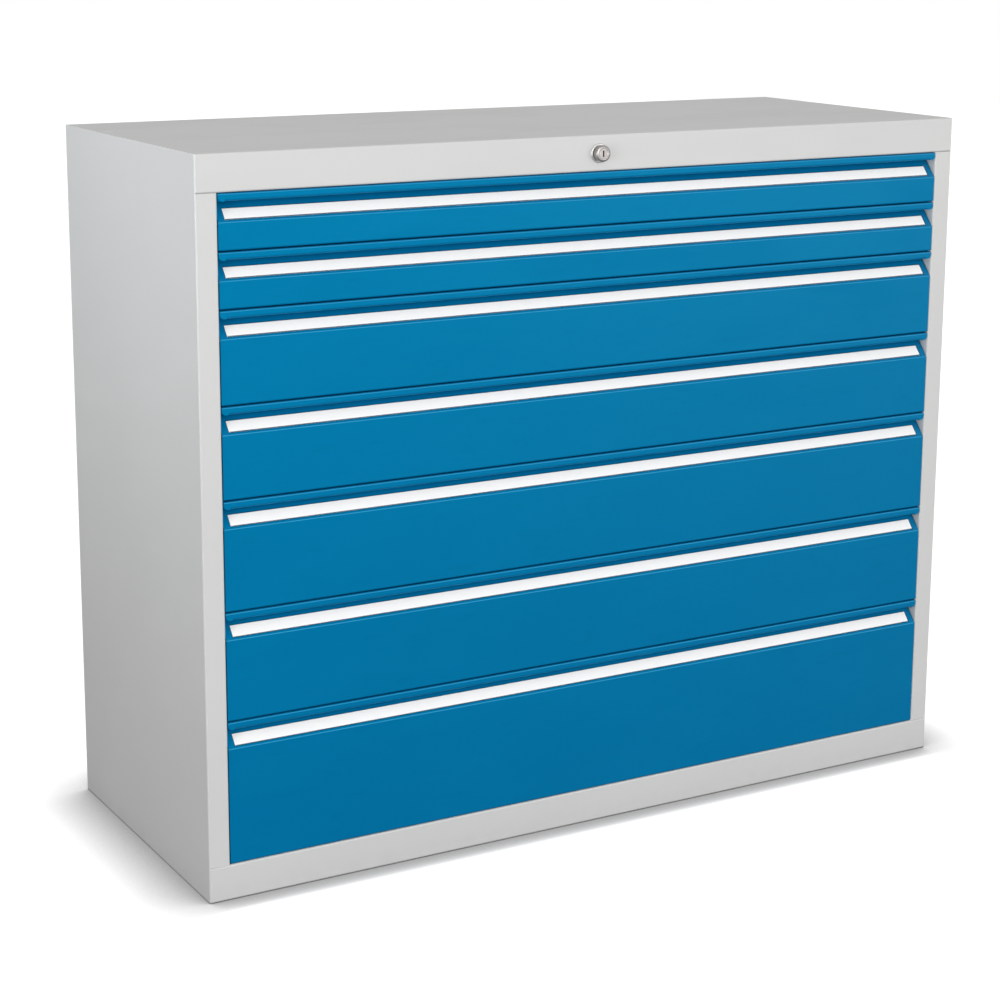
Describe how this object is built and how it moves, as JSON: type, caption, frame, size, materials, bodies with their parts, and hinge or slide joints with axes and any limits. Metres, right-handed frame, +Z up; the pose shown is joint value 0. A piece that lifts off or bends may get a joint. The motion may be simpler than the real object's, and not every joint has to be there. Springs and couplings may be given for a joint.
{
  "type": "steel drawer cabinet",
  "caption": "Low, wide steel cabinet with full-width blue drawers on telescopic slides, finger-grip fronts with label strips, and one central lock.",
  "frame": {"origin": "middle of the whole object's footprint, on the floor", "axes": "+X to the right along the width, +Y to the back, +Z up; the drawer fronts face -Y"},
  "size_m": [1.225, 0.487, 1],
  "materials": {
    "housing_enamel": "light grey powder coat, satin",
    "front_enamel": "sky blue powder coat, satin",
    "tray_enamel": "light grey powder coat, satin",
    "bright_steel": "zinc plated, rolled",
    "lock_chrome": "satin nickel, turned",
    "label_card": "plain white card",
    "label_cover": "clear strip",
    "plug_plastic": "moulded, light grey"
  },
  "bodies": {
    "housing": {"side_left": "housing_enamel", "side_right": "housing_enamel", "back_panel": "housing_enamel", "base_cover": "housing_enamel", "top_cover": "housing_enamel", "top_plug": "plug_plastic", "lock_rosette": "lock_chrome", "lock_housing": "lock_chrome", "lock_nut": "bright_steel", "post_front_left": "bright_steel", "post_front_right": "bright_steel", "post_rear_left": "bright_steel", "post_rear_right": "bright_steel", "slides_fixed_left": "bright_steel", "slides_fixed_right": "bright_steel"},
    "drawer_1": {"drawer_1_front": "front_enamel", "drawer_1_tray": "tray_enamel", "drawer_1_label": "label_card", "drawer_1_label_cover": "label_cover", "drawer_1_slide_inner": "bright_steel"},
    "slide_1": {"drawer_1_slide_middle": "bright_steel"},
    "drawer_2": {"drawer_2_front": "front_enamel", "drawer_2_tray": "tray_enamel", "drawer_2_label": "label_card", "drawer_2_label_cover": "label_cover", "drawer_2_slide_inner": "bright_steel"},
    "slide_2": {"drawer_2_slide_middle": "bright_steel"},
    "drawer_3": {"drawer_3_front": "front_enamel", "drawer_3_tray": "tray_enamel", "drawer_3_label": "label_card", "drawer_3_label_cover": "label_cover", "drawer_3_slide_inner": "bright_steel"},
    "slide_3": {"drawer_3_slide_middle": "bright_steel"},
    "drawer_4": {"drawer_4_front": "front_enamel", "drawer_4_tray": "tray_enamel", "drawer_4_label": "label_card", "drawer_4_label_cover": "label_cover", "drawer_4_slide_inner": "bright_steel"},
    "slide_4": {"drawer_4_slide_middle": "bright_steel"},
    "drawer_5": {"drawer_5_front": "front_enamel", "drawer_5_tray": "tray_enamel", "drawer_5_label": "label_card", "drawer_5_label_cover": "label_cover", "drawer_5_slide_inner": "bright_steel"},
    "slide_5": {"drawer_5_slide_middle": "bright_steel"},
    "drawer_6": {"drawer_6_front": "front_enamel", "drawer_6_tray": "tray_enamel", "drawer_6_label": "label_card", "drawer_6_label_cover": "label_cover", "drawer_6_slide_inner": "bright_steel"},
    "slide_6": {"drawer_6_slide_middle": "bright_steel"},
    "drawer_7": {"drawer_7_front": "front_enamel", "drawer_7_tray": "tray_enamel", "drawer_7_label": "label_card", "drawer_7_label_cover": "label_cover", "drawer_7_slide_inner": "bright_steel"},
    "slide_7": {"drawer_7_slide_middle": "bright_steel"},
    "lock_cylinder": {"lock_plug": "lock_chrome", "lock_rod": "bright_steel"},
    "locking_bar": {"locking_bar": "bright_steel"}
  },
  "joints": [
    {"name": "drawer_1_pull", "type": "slide", "parent": "housing", "child": "drawer_1", "axis": [0, -1, 0], "range_m": [0, 0.4]},
    {"name": "slide_1_follow", "type": "slide", "parent": "housing", "child": "slide_1", "axis": [0, -1, 0], "range_m": [0, 0.2]},
    {"name": "drawer_2_pull", "type": "slide", "parent": "housing", "child": "drawer_2", "axis": [0, -1, 0], "range_m": [0, 0.4]},
    {"name": "slide_2_follow", "type": "slide", "parent": "housing", "child": "slide_2", "axis": [0, -1, 0], "range_m": [0, 0.2]},
    {"name": "drawer_3_pull", "type": "slide", "parent": "housing", "child": "drawer_3", "axis": [0, -1, 0], "range_m": [0, 0.4]},
    {"name": "slide_3_follow", "type": "slide", "parent": "housing", "child": "slide_3", "axis": [0, -1, 0], "range_m": [0, 0.2]},
    {"name": "drawer_4_pull", "type": "slide", "parent": "housing", "child": "drawer_4", "axis": [0, -1, 0], "range_m": [0, 0.4]},
    {"name": "slide_4_follow", "type": "slide", "parent": "housing", "child": "slide_4", "axis": [0, -1, 0], "range_m": [0, 0.2]},
    {"name": "drawer_5_pull", "type": "slide", "parent": "housing", "child": "drawer_5", "axis": [0, -1, 0], "range_m": [0, 0.4]},
    {"name": "slide_5_follow", "type": "slide", "parent": "housing", "child": "slide_5", "axis": [0, -1, 0], "range_m": [0, 0.2]},
    {"name": "drawer_6_pull", "type": "slide", "parent": "housing", "child": "drawer_6", "axis": [0, -1, 0], "range_m": [0, 0.4]},
    {"name": "slide_6_follow", "type": "slide", "parent": "housing", "child": "slide_6", "axis": [0, -1, 0], "range_m": [0, 0.2]},
    {"name": "drawer_7_pull", "type": "slide", "parent": "housing", "child": "drawer_7", "axis": [0, -1, 0], "range_m": [0, 0.4]},
    {"name": "slide_7_follow", "type": "slide", "parent": "housing", "child": "slide_7", "axis": [0, -1, 0], "range_m": [0, 0.2]},
    {"name": "key_turn", "type": "hinge", "parent": "housing", "child": "lock_cylinder", "pos_m": [-0.016, -0.2315, 0.975], "axis": [0, 1, 0], "range_deg": [0, 90]},
    {"name": "bar_lift", "type": "slide", "parent": "housing", "child": "locking_bar", "axis": [0, 0, 1], "range_m": [0, 0.009]}
  ],
  "couplings": [
    {"joint": "slide_1_follow", "follows": "drawer_1_pull", "ratio": 0.5},
    {"joint": "slide_2_follow", "follows": "drawer_2_pull", "ratio": 0.5},
    {"joint": "slide_3_follow", "follows": "drawer_3_pull", "ratio": 0.5},
    {"joint": "slide_4_follow", "follows": "drawer_4_pull", "ratio": 0.5},
    {"joint": "slide_5_follow", "follows": "drawer_5_pull", "ratio": 0.5},
    {"joint": "slide_6_follow", "follows": "drawer_6_pull", "ratio": 0.5},
    {"joint": "slide_7_follow", "follows": "drawer_7_pull", "ratio": 0.5},
    {"joint": "key_turn", "follows": "bar_lift", "rad_per_m": 174.53}
  ]
}
